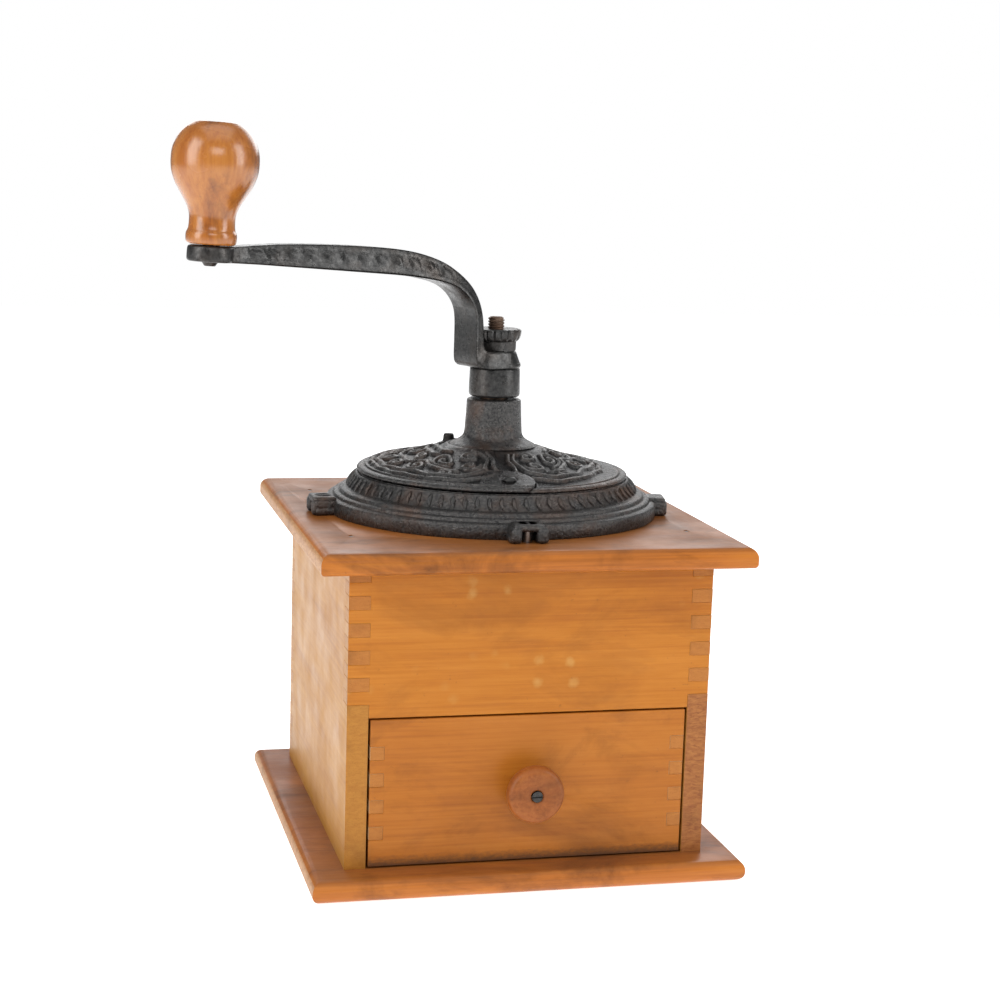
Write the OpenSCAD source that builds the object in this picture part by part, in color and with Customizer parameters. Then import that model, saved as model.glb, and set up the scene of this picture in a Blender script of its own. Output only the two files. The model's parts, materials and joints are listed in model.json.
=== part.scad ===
// Box coffee mill: a finger-jointed wooden box with a drawer, a cast iron hopper with a
// swing-out lid, a pair of conical burrs hung under the top board, and a crank.
// The origin is the centre of the base board's underside. +Z is up and the drawer is at -Y.

/* [Boards] */
// Width of the base board
base_w = 186.6; // [176:0.1:240]
// Depth of the base board
base_d = 195; // [176:0.1:240]
// Thickness of the base board
base_t = 9.5; // [7:0.1:14]
// Width of the top board
top_w = 184; // [176:0.1:240]
// Depth of the top board
top_d = 196; // [176:0.1:240]
// Thickness of the top board
top_t = 9; // [7.5:0.1:14]
// Radius of the top board's upper edge
top_round = 4.6; // [2:0.1:5]
// Radius of the base board's edges
base_round = 4.3; // [2:0.1:5]

/* [Box] */
// Outer width of the box
box_w = 156; // [146:0.5:172]
// Outer depth of the box
box_d = 164.6; // [150:0.1:172]
// Height of the box between the boards
box_h = 127.5; // [124:0.5:160]
// Thickness of the box boards
wall_t = 9; // [7:0.1:11]
// Height of the board above the drawer
lintel_h = 63; // [55:0.5:63]
// Number of fingers and gaps in that board's joint
lintel_fingers = 11; // [5:2:15]
// Number of fingers and gaps in the back joint
back_fingers = 23; // [11:2:31]
// Distance of the end nails from the middle one
nail_pitch = 58; // [40:1:64]

/* [Drawer] */
// Gap on each side of the drawer
drawer_gap = 1; // [0.6:0.1:2]
// Gap between the drawer's sides and the base board
drawer_lift = 0.3; // [0.2:0.1:0.6]
// Length of the drawer from front to back
drawer_d = 148; // [120:1:148]
// Thickness of the drawer's front
drawer_front_t = 10; // [8:0.5:14]
// Thickness of the drawer's sides and back
drawer_side_t = 6; // [4:0.5:9]
// Thickness of the drawer's bottom
drawer_bottom_t = 3.5; // [2:0.1:5]
// Step from the drawer front's top down to the top of its sides
drawer_side_drop = 5.2; // [3:0.1:10]
// Number of fingers and gaps in the drawer's joint
drawer_fingers = 11; // [9:2:15]
// Diameter of the drawer knob
pull_dia = 24.5; // [18:0.5:34]
// Length of the drawer knob
pull_len = 15; // [10:0.5:22]
// Height of the drawer knob's axis above the drawer front's lower edge
pull_up = 32; // [20:0.5:40]

/* [Hopper] */
// Outer radius of the hopper's foot
hopper_r = 74; // [70:0.5:76]
// Outer radius of the hopper's rim
rim_r = 60.6; // [59.5:0.1:62]
// Height of the rim above the top board
rim_h = 16.4; // [15:0.1:20]
// Inner radius of the hopper's wall
hopper_in_r = 57; // [55:0.1:57.5]
// Rise of the dome from the rim to the neck
dome_rise = 10; // [8:0.1:12]
// Height of the dome's edge above the hopper's wall
dome_edge = 2.3; // [1.8:0.1:3]
// Wall of the dome
dome_t = 2; // [1.6:0.1:2.6]
// Radius of the flange at the foot of the neck
neck_flange_r = 19.5; // [18:0.1:24]
// Radius of the neck at its foot
neck_r = 12.8; // [11:0.1:14]
// Radius of the neck at its top
neck_top_r = 12.1; // [10:0.1:13]
// Height of the neck above the top board
neck_h = 50.8; // [40:0.1:70]
// Reach of the front, left and back lugs from the axis
lug_reach = 83; // [81:0.5:86]
// Reach of the right lug, which stands forward of the middle line
right_lug_reach = 79; // [78.5:0.1:83]
// Bearing of the right lug
right_lug_az = -11; // [-15:1:0]
// Width of the lugs
lug_w = 17; // [14:0.5:20]
// Height of the lugs
lug_h = 8; // [7:0.1:9]

/* [Lid] */
// Distance of the lid's straight edge from the axis
lid_edge = 4.6; // [2:0.1:8]
// Gap between the lid and the fixed half of the dome
lid_gap = 0.6; // [0.3:0.1:1]
// Height of the lid above the fixed half of the dome
lid_proud = 1.2; // [0:0.1:1.5]
// Swing of the lid
lid_swing = 70; // [40:1:75]
// Distance of the lid's rivet from the axis
lid_rivet_y = 51.2; // [50:0.1:52]
// Radius of the lid's rivet
lid_rivet_r = 2; // [1.5:0.1:2.5]
// Distance of the lid's finger knob from the axis
lid_knob_at = 25; // [23:0.5:40]
// Bearing of the lid's finger knob
lid_knob_az = 130; // [120:1:200]

/* [Grinding set] */
// Radius of the hole in the top board
case_hole_r = 52; // [49:0.5:53]
// Radius of the grinding case's flange
case_flange_r = 60; // [58:0.5:60.5]
// Wall of the grinding case
case_wall = 3.5; // [3:0.1:5]
// Outer radius of the outer burr
burr_r = 30; // [28:0.5:34]
// Inner radius of the outer burr at its lower end
burr_mouth_r = 26; // [24:0.1:27]
// Inner radius of the outer burr at its upper end
burr_throat_r = 17; // [15:0.1:19]
// Height of the outer burr
burr_h = 17.5; // [14:0.5:20]
// Radial gap between the burrs
burr_gap = 0.9; // [0.8:0.1:1.6]
// Number of teeth on the inner burr
inner_teeth = 18; // [8:1:24]
// Number of teeth on the outer burr
outer_teeth = 24; // [8:1:30]
// Travel of the grind adjustment each way
adjust = 0.6; // [0.2:0.1:0.8]

/* [Crank] */
// Radius of the spindle
spindle_r = 6; // [5:0.1:6.5]
// Radial clearance of the running fits
running = 0.08; // [0.04:0.01:0.1]
// Height of the collar between the neck and the crank
collar_h = 12.9; // [8:0.1:20]
// Thickness of the crank's pad
pad_t = 7.6; // [6:0.1:10]
// Bearing of the crank
crank_az = 201; // [0:1:359]
// Distance from the spindle to the crank knob
crank_r = 141; // [120:1:160]
// Height of the knob's seat above the foot of the pad
crank_rise = 53.8; // [45:0.1:65]
// Width of the crank at its riser
crank_w = 18; // [16:0.5:20]
// Width of the crank near its knob
crank_tip_w = 13; // [11:0.5:16]
// Lean of the crank knob towards the spindle
knob_lean = 3; // [0:0.5:5]
// Largest radius of the crank knob
knob_r = 17.75; // [14:0.25:22]
// Height of the crank knob
knob_h = 49; // [42:0.1:60]
// Radius of the crank knob's rivet
knob_pin_r = 3; // [2.5:0.1:4]

/* [Hidden] */
$fn = 96;
e = 0.01;

// Levels
box_z = base_t;
top_z = base_t + box_h;
deck = top_z + top_t;
opening_top = top_z - lintel_h;
in_w = box_w - 2 * wall_t;
front_y = -box_d / 2;

// Nails: cut nails with a flat head
nail_w = 1.6;
nail_d = 2.2;
nail_head = [4, 1.8, 1.2];
nail_len = 28;
nail_sink = 0.3;
nail_x = (box_w - wall_t) / 2;

// Drawer
drawer_w = in_w - 2 * drawer_gap;
face_z = box_z + 0.7;
face_h = opening_top - 0.8 - face_z;
drawer_z = box_z + drawer_lift;
drawer_side_top = face_z + face_h - drawer_side_drop;
drawer_back_y = front_y + drawer_d;
drawer_finger = face_h / drawer_fingers;
groove = 2.5;
groove_z = drawer_z + 3.4;
bottom_play = 0.2;
pull_z = face_z + pull_up;
pull_screw_r = 1.6;
pull_spigot_r = 7;

// Hopper
lug_plate = 2.4;
lug_leg = 3.7;
lug_leg_w = 4;
lug_screw_at = lug_reach - lug_leg - 2.6;
lugs = [[right_lug_az, right_lug_reach], [90, lug_reach], [182, lug_reach], [268, lug_reach]];
screw_r = 2;
screw_head_r = 4;
flange_rebate = 0.4;
flange_t = 2.4;
dome_z = deck + rim_h;
flange_under = rim_h + dome_rise + dome_edge + 0.9;
lid_sit = 0.1;
lid_ear_x = -lid_edge;
lid_rim_r = rim_r + 0.6;
lid_in_r = neck_flange_r + 0.7;
lid_rivet_at = norm([lid_ear_x, lid_rivet_y]);
lid_half_swing = lid_swing / 2 + 1.2;
lid_ear_r = sqrt(pow(lid_rim_r, 2) - pow(lid_rivet_at * sin(lid_half_swing), 2))
  - lid_rivet_at * cos(lid_half_swing) - lid_gap;
boss_r = 5.5;
rivet_seat_r = 4;
boss_h = 6;

// Grinding set, from the top board down
burr_top = top_z - 22;
burr_foot = burr_top - burr_h;
cone = (burr_mouth_r - burr_throat_r) / burr_h;
case_r = burr_r + case_wall;
spindle_foot = burr_foot - 2.5;
disc_t = 2;
disc_r = 5;
screw_top = spindle_foot - disc_t;
bridge_t = 6;
bridge_w = 14;
bridge_top = screw_top - 1.5;
bridge_foot = bridge_top - bridge_t;
bridge_reach = case_r + 5.5;
bridge_screw_at = case_r + 1.2;
thrust_r = 4;
lock_t = 3.5;
thrust_head_t = 3.5;
hub_r = 9;
hub_z = burr_top + 1.5;
hub_h = 5.5;
burr_pin_r = 1.5;
burr_pin_z = hub_z + hub_h / 2;

// Crank
neck_top = deck + neck_h;
collar_z = neck_top + adjust + 0.4;
pad_z = collar_z + collar_h;
pad_r = 11.4;
pad_top = pad_z + pad_t;
seat_w = spindle_r * 1.3;
seat_play = 0.1;
shoulder = 0.4;
stud_r = spindle_r * 0.625;
stud_h = 14.9;
nut_r = 11.3;
nut_neck_r = 8.7;
nut_neck_h = 4.8;
nut_h = 9.7;
nut_scallops = 20;
boss_tip_r = 9.5;
boss_tip_t = 6.6;
knob_gap = 0.3;
knob_seat = pad_z + crank_rise;
recess_r = 6.5;
recess_h = 3;
washer_t = 1;
rivet_head_r = 4.6;

// Height of the dome above its edge at radius r, a hollow curve from the rim to the neck
function dome(r) = dome_rise * (0.72 * (rim_r - r) / (rim_r - 21) + 0.28 * pow((rim_r - r) / (rim_r - 21), 3));
// Points of the dome's upper side, from the rim inwards, with its edge at the given height
function dome_line(from, to, edge, n = 7) = [for (i = [0:n]) let (r = from + (to - from) * i / n)
  [r, max(0, dome(r)) + edge * min(1, (lid_rim_r - r) / 3)]];
// Crank knob: height and radius as shares of the knob's own size
knob_line = [[0.53, 0], [0.575, 0.025], [0.575, 0.09], [0.535, 0.14], [0.53, 0.235],
  [0.58, 0.305], [0.71, 0.39], [0.873, 0.486], [0.975, 0.583], [1, 0.685], [0.975, 0.778],
  [0.862, 0.873], [0.7, 0.948], [0.5, 1]];

// ---- shared shapes ----

// Outline of a board's section with rounded edges
module board_section(w, t, r_up, r_low) {
  intersection() {
    union() {
      translate([-w / 2, r_low]) square([w, t - r_up - r_low]);
      translate([-w / 2 + r_up, r_low]) square([w - 2 * r_up, t - r_low]);
      translate([-w / 2 + r_low, 0]) square([w - 2 * r_low, t - r_up]);
      for (s = [-1, 1]) {
        translate([s * (w / 2 - r_up), t - r_up]) circle(r_up);
        translate([s * (w / 2 - r_low), r_low]) circle(r_low);
      }
    }
    translate([-w / 2, 0]) square([w, t]);
  }
}

// Board that lies flat, with all four edges rounded
module board(w, d, t, r_up, r_low) {
  intersection() {
    rotate([90, 0, 0]) translate([0, 0, -d / 2]) linear_extrude(d) board_section(w, t, r_up, r_low);
    rotate([90, 0, 90]) translate([0, 0, -w / 2]) linear_extrude(w) board_section(d, t, r_up, r_low);
  }
}

// One cut nail, head up, with its head's top at the origin
module nail() {
  translate([-nail_head[1] / 2, -nail_head[0] / 2, -nail_head[2]]) cube([nail_head[1], nail_head[0], nail_head[2]]);
  translate([-nail_w / 2, -nail_d / 2, -nail_len]) cube([nail_w, nail_d, nail_len]);
}

module top_nail_set() {
  for (sx = [-1, 1]) for (i = [-1:1])
    translate([sx * nail_x, i * nail_pitch, deck - nail_sink]) nail();
}

module base_nail_set() {
  for (sx = [-1, 1]) for (i = [-1:1])
    translate([sx * nail_x, i * nail_pitch, nail_sink]) mirror([0, 0, 1]) nail();
}

// Room above a sunk nail head
module nail_mouths(z, up) {
  for (sx = [-1, 1]) for (i = [-1:1])
    translate([sx * nail_x - nail_head[1] / 2, i * nail_pitch - nail_head[0] / 2, up ? z - nail_sink : z - e])
      cube([nail_head[1], nail_head[0], nail_sink + e]);
}

// Countersunk screw, head up, with its head's top at the origin
module csk_screw(len, r, head_r) {
  translate([0, 0, -len]) cylinder(r = r, h = len - head_r + r);
  translate([0, 0, -head_r + r]) cylinder(r1 = r, r2 = head_r, h = head_r - r);
}

module slot(w, len, depth) {
  translate([-len / 2, -w / 2, -depth]) cube([len, w, depth + 1]);
}

module at_lugs() {
  for (l = lugs) rotate([0, 0, l[0]]) translate([l[1] - lug_reach, 0, 0]) children();
}

module at_case_screws() {
  for (a = [40:120:280]) rotate([0, 0, a]) translate([(case_hole_r + case_flange_r) / 2, 0, deck + flange_t]) children();
}

module at_lid_rivet() {
  translate([lid_ear_x, -lid_rivet_y, 0]) children();
}

// ---- box ----

// Finger blocks across a corner: the even places, or the odd ones
module fingers(z, h, n, odd) {
  for (i = [odd ? 1 : 0:2:n - 1]) translate([0, 0, z + i * h / n]) cube([wall_t, wall_t, h / n]);
}

// Ends of the side board's fingers in the front joint and in the back joint
module side_ends(sx) {
  x = sx > 0 ? box_w / 2 - wall_t : -box_w / 2;
  translate([x, front_y, 0]) fingers(opening_top, lintel_h, lintel_fingers, false);
  translate([x, -front_y - wall_t, 0]) fingers(box_z, box_h, back_fingers, false);
}

module side_board(sx) {
  x = sx > 0 ? box_w / 2 - wall_t : -box_w / 2;
  difference() {
    union() {
      translate([x, front_y + wall_t, box_z]) cube([wall_t, box_d - 2 * wall_t, box_h]);
      translate([x, front_y, box_z]) cube([wall_t, wall_t, opening_top - box_z]);
      side_ends(sx);
    }
    top_nail_set();
    base_nail_set();
  }
}

module side_board_left() {
  color("#c98f55") side_board(-1);
}

module side_board_right() {
  color("#c07a48") side_board(1);
}

module front_board() {
  color("#c8783c") difference() {
    translate([-box_w / 2, front_y, opening_top]) cube([box_w, wall_t, lintel_h]);
    side_ends(-1);
    side_ends(1);
  }
}

module back_board() {
  color("#c08048") difference() {
    translate([-box_w / 2, -front_y - wall_t, box_z]) cube([box_w, wall_t, box_h]);
    side_ends(-1);
    side_ends(1);
  }
}

module base_board() {
  round_low = min(base_round, base_t * 0.45);
  color("#a5623c") difference() {
    board(base_w, base_d, base_t, round_low, round_low);
    base_nail_set();
    nail_mouths(0, false);
  }
}

module top_board() {
  round_up = min(top_round, top_t * 0.55);
  color("#a5623c") difference() {
    translate([0, 0, top_z]) board(top_w, top_d, top_t, round_up, min(2, top_t * 0.25));
    translate([0, 0, top_z - 1]) cylinder(r = case_hole_r, h = top_t + 2);
    top_nail_set();
    nail_mouths(deck, true);
    at_lugs() translate([lug_screw_at, 0, top_z + 1]) cylinder(r = screw_r, h = top_t);
    at_case_screws() translate([0, 0, -flange_t - top_t + 1]) cylinder(r = screw_r - 0.2, h = top_t);
  }
}

module top_nails() {
  color("#3a302a") top_nail_set();
}

module base_nails() {
  color("#3a302a") base_nail_set();
}

// ---- drawer ----

// Ends of the drawer side's fingers, which show on the drawer's front
module drawer_side_ends(sx) {
  x = sx > 0 ? drawer_w / 2 - drawer_side_t : -drawer_w / 2;
  for (i = [2:2:drawer_fingers - 3])
    translate([x, front_y, face_z + i * drawer_finger]) cube([drawer_side_t, drawer_front_t, drawer_finger]);
}

module drawer_bottom_panel(play) {
  translate([-drawer_w / 2 + drawer_side_t - groove + play, front_y + drawer_front_t - groove + play, groove_z])
    cube([drawer_w - 2 * drawer_side_t + 2 * groove - 2 * play,
      drawer_d - drawer_front_t - drawer_side_t + 2 * groove - 2 * play, drawer_bottom_t]);
}

module drawer_side(sx) {
  x = sx > 0 ? drawer_w / 2 - drawer_side_t : -drawer_w / 2;
  difference() {
    union() {
      translate([x, front_y + drawer_front_t, drawer_z])
        cube([drawer_side_t, drawer_d - drawer_front_t, drawer_side_top - drawer_z]);
      drawer_side_ends(sx);
    }
    drawer_bottom_panel(0);
  }
}

module drawer_front() {
  color("#cf8443") difference() {
    translate([-drawer_w / 2, front_y, face_z]) cube([drawer_w, drawer_front_t, face_h]);
    drawer_side_ends(-1);
    drawer_side_ends(1);
    drawer_bottom_panel(0);
    translate([0, front_y - 1, pull_z]) rotate([-90, 0, 0]) cylinder(r = pull_screw_r, h = drawer_front_t);
  }
}

module drawer_side_left() {
  color("#d9b07c") drawer_side(-1);
}

module drawer_side_right() {
  color("#d9b07c") drawer_side(1);
}

module drawer_back() {
  color("#d9b07c") difference() {
    translate([-drawer_w / 2 + drawer_side_t, drawer_back_y - drawer_side_t, drawer_z])
      cube([drawer_w - 2 * drawer_side_t, drawer_side_t, drawer_side_top - drawer_z]);
    drawer_bottom_panel(0);
  }
}

module drawer_bottom() {
  color("#d2a671") drawer_bottom_panel(bottom_play);
}

// Turned knob with a round spigot that stands on the drawer's front
module drawer_knob() {
  r = pull_dia / 2;
  color("#8a4a2c") translate([0, front_y, pull_z]) rotate([90, 0, 0]) difference() {
    rotate_extrude() polygon([[0, 0], [pull_spigot_r, 0], [pull_spigot_r - 1, pull_len * 0.3],
      [pull_spigot_r, pull_len * 0.45], [r - 1.6, pull_len * 0.52], [r - 0.3, pull_len * 0.62],
      [r, pull_len * 0.74], [r - 0.4, pull_len * 0.88], [r - 1.6, pull_len], [0, pull_len]]);
    translate([0, 0, -1]) cylinder(r = pull_screw_r, h = pull_len + 2);
    translate([0, 0, pull_len - 1.2]) cylinder(r = 2.4, h = 2);
  }
}

module drawer_knob_screw() {
  color("#3c3836") translate([0, front_y, pull_z]) rotate([90, 0, 0]) difference() {
    union() {
      translate([0, 0, -drawer_front_t + 1]) cylinder(r = pull_screw_r, h = pull_len + drawer_front_t - 2.2);
      translate([0, 0, pull_len - 1.2]) cylinder(r = 2.3, h = 1.6);
    }
    translate([0, 0, pull_len + 0.4]) slot(0.7, 5, 0.7);
  }
}

// ---- hopper ----

// Plan of the lid, wider by the given gap
module lid_plan(gap) {
  translate([-lug_reach, -lug_reach]) square([lug_reach - lid_edge + gap, 2 * lug_reach]);
  at_lid_rivet() circle(lid_ear_r + gap);
}

// Dome wall, from the radius of its edge to the radius at the neck
module dome_wall(edge_r, in_r, edge) {
  line = dome_line(edge_r - 2.6, in_r, edge);
  under = [for (i = [len(line) - 1:-1:0]) line[i] - [0, dome_t]];
  shown = [for (p = under) if (p[0] < hopper_in_r - 1) p];
  translate([0, 0, dome_z]) rotate_extrude() polygon(concat(
    [[edge_r, 0.8 + lid_sit], [edge_r, edge * 0.6]], line, shown,
    [[hopper_in_r, lid_sit], [rim_r - 2, lid_sit]]));
}

// Round foot, stepped mouldings, fluted band and rim, with its inside
module hopper_ring() {
  rise = rim_h - 11;
  translate([0, 0, deck]) rotate_extrude() polygon([[hopper_r, 0], [hopper_r, 5.5],
    [hopper_r - 1, 6.5], [hopper_r - 2.6, 7], [hopper_r - 3.6, 7.7], [hopper_r - 5.4, 8.3],
    [hopper_r - 6, 9.5], [hopper_r - 8.6, 10.6], [rim_r + 2.4, 10.6 + rise * 0.45],
    [rim_r, 10.6 + rise * 0.86], [rim_r + 0.4, rim_h - 0.5], [rim_r, rim_h],
    [hopper_in_r, rim_h], [hopper_in_r, flange_t + flange_rebate],
    [case_flange_r + flange_rebate, flange_t + flange_rebate], [case_flange_r + flange_rebate, 0]]);
}

module lug() {
  translate([hopper_r - 2, -lug_w / 2, deck + lug_h - lug_plate]) cube([lug_reach - hopper_r + 2, lug_w, lug_plate]);
  for (s = [-1, 1]) translate([lug_reach - lug_leg, s * (lug_w / 2 - lug_leg_w / 2) - lug_leg_w / 2, deck])
    cube([lug_leg, lug_leg_w, lug_h - e]);
}

// Neck with its flange, and the bearing tube that hangs inside the hopper
module neck() {
  f = flange_under;
  translate([0, 0, deck]) rotate_extrude() polygon([[0, f - 8], [11, f - 8], [11, f],
    [neck_flange_r, f], [neck_flange_r, f + 0.4], [neck_flange_r - 1, f + 1.1],
    [neck_r + 3, f + 1.9], [neck_r + 1, f + 3.1], [neck_r + 0.2, f + 5], [neck_r, f + 7],
    [neck_top_r, neck_h - 0.4], [neck_top_r - 0.8, neck_h], [0, neck_h]]);
}

// Web that ties the fixed half of the dome to the neck
module neck_web() {
  f = flange_under;
  translate([0, 0, deck]) rotate_extrude() polygon([[10, f - 3], [27, rim_h + dome(27) + 0.6],
    [27, rim_h + dome(27) + dome_edge - 0.1], [neck_flange_r, f + 0.2], [10, f + 0.2]]);
}

module hopper_casting() {
  color("#4a4643") difference() {
    union() {
      hopper_ring();
      at_lugs() lug();
      difference() {
        union() {
          dome_wall(rim_r - 0.9, 16, dome_edge);
          translate([0, 0, dome_z]) difference() {
            cylinder(r = rim_r, h = 1);
            translate([0, 0, -1]) cylinder(r = hopper_in_r, h = 3);
          }
          neck_web();
        }
        translate([0, 0, dome_z - 20]) linear_extrude(60) lid_plan(lid_gap);
      }
      neck();
      at_lid_rivet() translate([0, 0, dome_z - boss_h]) {
        cylinder(r = boss_r, h = boss_h);
        translate([-boss_r, -(hopper_in_r + 1 - lid_rivet_y), 0]) cube([2 * boss_r, hopper_in_r + 1 - lid_rivet_y, boss_h]);
      }
    }
    cylinder(r = spindle_r + running, h = deck + neck_h + 1);
    at_lugs() translate([lug_screw_at, 0, deck + lug_h]) {
      csk_screw(lug_h + 1, screw_r, screw_head_r);
      cylinder(r = screw_head_r, h = 3);
    }
    at_lid_rivet() translate([0, 0, dome_z - boss_h - 1]) cylinder(r = lid_rivet_r, h = boss_h + 2);
  }
}

module hopper_screws() {
  color("#6d6f72") at_lugs() translate([lug_screw_at, 0, deck + lug_h]) difference() {
    csk_screw(lug_h + top_t - 1, screw_r, screw_head_r);
    slot(1, 2 * screw_head_r + 1, 1);
  }
}

module hopper_lid() {
  edge = dome_edge + lid_proud;
  head_z = dome(lid_rivet_y) + edge;
  color("#4d4843") difference() {
    union() {
      intersection() {
        dome_wall(lid_rim_r, lid_in_r, edge);
        translate([0, 0, dome_z - 5]) linear_extrude(60) lid_plan(0);
      }
      at_lid_rivet() translate([0, 0, dome_z + lid_sit]) cylinder(r = rivet_seat_r, h = head_z - lid_sit);
      rotate([0, 0, lid_knob_az]) translate([lid_knob_at, 0, dome_z + dome(lid_knob_at) + edge - 1.4])
        cylinder(r1 = 2.9, r2 = 2.3, h = 5.2);
    }
    at_lid_rivet() translate([0, 0, dome_z + head_z]) cylinder(r = rivet_seat_r, h = 4);
    at_lid_rivet() translate([0, 0, dome_z - 1]) cylinder(r = lid_rivet_r + running, h = 20);
  }
}

// Rivet with a low head above the lid and a peened end under the casting's boss
module lid_rivet() {
  head_z = dome_z + dome(lid_rivet_y) + dome_edge + lid_proud + 0.1;
  color("#3a3532") at_lid_rivet() {
    translate([0, 0, dome_z - boss_h - 1]) cylinder(r = lid_rivet_r, h = head_z - dome_z + boss_h + 1.5);
    translate([0, 0, dome_z - boss_h - 1.2]) cylinder(r = lid_rivet_r + 1, h = 1.2);
    translate([0, 0, head_z]) cylinder(r1 = rivet_seat_r - 0.8, r2 = rivet_seat_r - 1.8, h = 1.3);
  }
}

// ---- grinding set ----

module burr_cone(r_add, low, high) {
  translate([0, 0, low]) cylinder(r1 = burr_mouth_r + r_add + (burr_foot - low) * cone,
    r2 = burr_mouth_r + r_add + (burr_foot - high) * cone, h = high - low);
}

// Straight V grooves along a cone, one for each tooth
module tooth_cuts(n, r_add, depth) {
  lean = atan(cone);
  for (i = [0:n - 1]) rotate([0, 0, i * 360 / n]) translate([burr_mouth_r + r_add, 0, burr_foot])
    rotate([0, -lean, 0]) rotate([0, 0, 45]) translate([-depth, -depth, -6]) cube([2 * depth, 2 * depth, burr_h + 14]);
}

module case_outer() {
  rotate_extrude() polygon([[0, burr_foot], [case_r, burr_foot], [case_r, burr_top + 1],
    [case_hole_r - 0.5, top_z], [case_hole_r - 0.5, deck], [case_flange_r, deck],
    [case_flange_r, deck + flange_t], [0, deck + flange_t]]);
}

module case_inner() {
  rotate_extrude() polygon([[0, burr_foot - 1], [burr_r, burr_foot - 1], [burr_r, burr_top + 3],
    [case_hole_r - 0.5 - case_wall, top_z + 4], [case_hole_r - 2, deck + flange_t - 0.6],
    [case_hole_r - 1.6, deck + flange_t + 1], [0, deck + flange_t + 1]]);
}

module at_bridge_ends() {
  for (s = [-1, 1]) translate([s * bridge_screw_at, 0, 0]) children();
}

module at_set_screws() {
  for (a = [90:120:330]) rotate([0, 0, a]) translate([0, 0, burr_foot + 4]) rotate([0, 90, 0]) children();
}

module grinding_case() {
  color("#55504b") difference() {
    union() {
      case_outer();
      for (s = [-1, 1]) translate([s > 0 ? burr_r + 0.5 : -bridge_reach, -bridge_w / 2, bridge_top])
        cube([bridge_reach - burr_r - 0.5, bridge_w, burr_foot + 14 - bridge_top]);
    }
    case_inner();
    at_bridge_ends() translate([0, 0, bridge_top - 1]) cylinder(r = 1.8, h = 13);
    at_set_screws() cylinder(r = 2, h = case_r + 5);
    at_case_screws() csk_screw(flange_t + 1, screw_r - 0.2, screw_head_r - 0.4);
  }
}

module case_screws() {
  color("#6d6f72") at_case_screws() difference() {
    csk_screw(flange_t + top_t - 1.4, screw_r - 0.2, screw_head_r - 0.4);
    slot(0.9, 9, 0.9);
  }
}

module outer_burr() {
  color("#6a6460") difference() {
    translate([0, 0, burr_foot]) cylinder(r = burr_r, h = burr_h);
    burr_cone(0, burr_foot - 1, burr_top + 1);
    intersection() {
      tooth_cuts(outer_teeth, 0, 1);
      translate([0, 0, burr_foot - 2]) cylinder(r = burr_mouth_r + 2.5, h = burr_h + 4);
    }
    at_set_screws() cylinder(r = 2, h = burr_r + 1);
  }
}

module burr_set_screws() {
  tip = burr_mouth_r + 1.8;
  color("#6d6f72") at_set_screws() difference() {
    union() {
      translate([0, 0, tip]) cylinder(r = 2, h = case_r - tip + 0.5);
      translate([0, 0, case_r]) cylinder(r = 3.4, h = 2);
    }
    translate([0, 0, case_r + 2]) slot(0.9, 8, 1);
  }
}

module inner_burr() {
  color("#726b66") difference() {
    union() {
      difference() {
        burr_cone(-burr_gap, burr_foot - 0.5, burr_top);
        tooth_cuts(inner_teeth, -burr_gap, 1);
      }
      translate([0, 0, burr_top - e]) cylinder(r1 = burr_throat_r - burr_gap - 2, r2 = hub_r, h = hub_z - burr_top + e);
      translate([0, 0, hub_z - e]) cylinder(r = hub_r, h = hub_h);
    }
    translate([0, 0, burr_foot - 2]) cylinder(r = spindle_r, h = burr_h + 12);
    translate([-20, 0, burr_pin_z]) rotate([0, 90, 0]) cylinder(r = burr_pin_r, h = 40);
  }
}

module burr_pin() {
  color("#6d6f72") translate([-hub_r, 0, burr_pin_z]) rotate([0, 90, 0]) cylinder(r = burr_pin_r, h = 2 * hub_r);
}

// Spindle: thrust end, long journal, shouldered neck for the collar, square seat, stud
module spindle() {
  color("#6e5240") difference() {
    union() {
      translate([0, 0, spindle_foot]) cylinder(r = spindle_r, h = collar_z - spindle_foot);
      translate([0, 0, collar_z - e]) cylinder(r = spindle_r - shoulder, h = collar_h + e);
      rotate([0, 0, crank_az]) translate([-seat_w / 2, -seat_w / 2, pad_z - e]) cube([seat_w, seat_w, pad_t - 0.6]);
      translate([0, 0, pad_z]) cylinder(r = stud_r, h = pad_t + stud_h);
    }
    translate([-20, 0, burr_pin_z]) rotate([0, 90, 0]) cylinder(r = burr_pin_r, h = 40);
  }
}

module spindle_collar() {
  color("#4f4a46") difference() {
    translate([0, 0, collar_z]) rotate_extrude() polygon([[0, 0], [pad_r - 0.6, 0], [pad_r, 0.6],
      [pad_r - 0.4, collar_h - 0.6], [pad_r - 0.9, collar_h], [0, collar_h]]);
    translate([0, 0, collar_z - 1]) cylinder(r = spindle_r - shoulder, h = collar_h + 2);
  }
}

module bridge_bar() {
  color("#55504b") difference() {
    translate([-bridge_reach, -bridge_w / 2, bridge_foot]) cube([2 * bridge_reach, bridge_w, bridge_t]);
    translate([0, 0, bridge_foot - 1]) cylinder(r = thrust_r + running, h = bridge_t + 2);
    at_bridge_ends() translate([0, 0, bridge_foot - 1]) cylinder(r = 1.8, h = bridge_t + 2);
  }
}

module bridge_screws() {
  color("#6d6f72") at_bridge_ends() difference() {
    union() {
      translate([0, 0, bridge_foot - 2.4]) cylinder(r = 3.4, h = 2.4);
      translate([0, 0, bridge_foot - e]) cylinder(r = 1.8, h = bridge_t + 11);
    }
    translate([0, 0, bridge_foot - 2.4]) mirror([0, 0, 1]) slot(0.9, 8, 1);
  }
}

module thrust_disc() {
  color("#84868a") translate([0, 0, screw_top]) cylinder(r = disc_r, h = disc_t);
}

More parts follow.
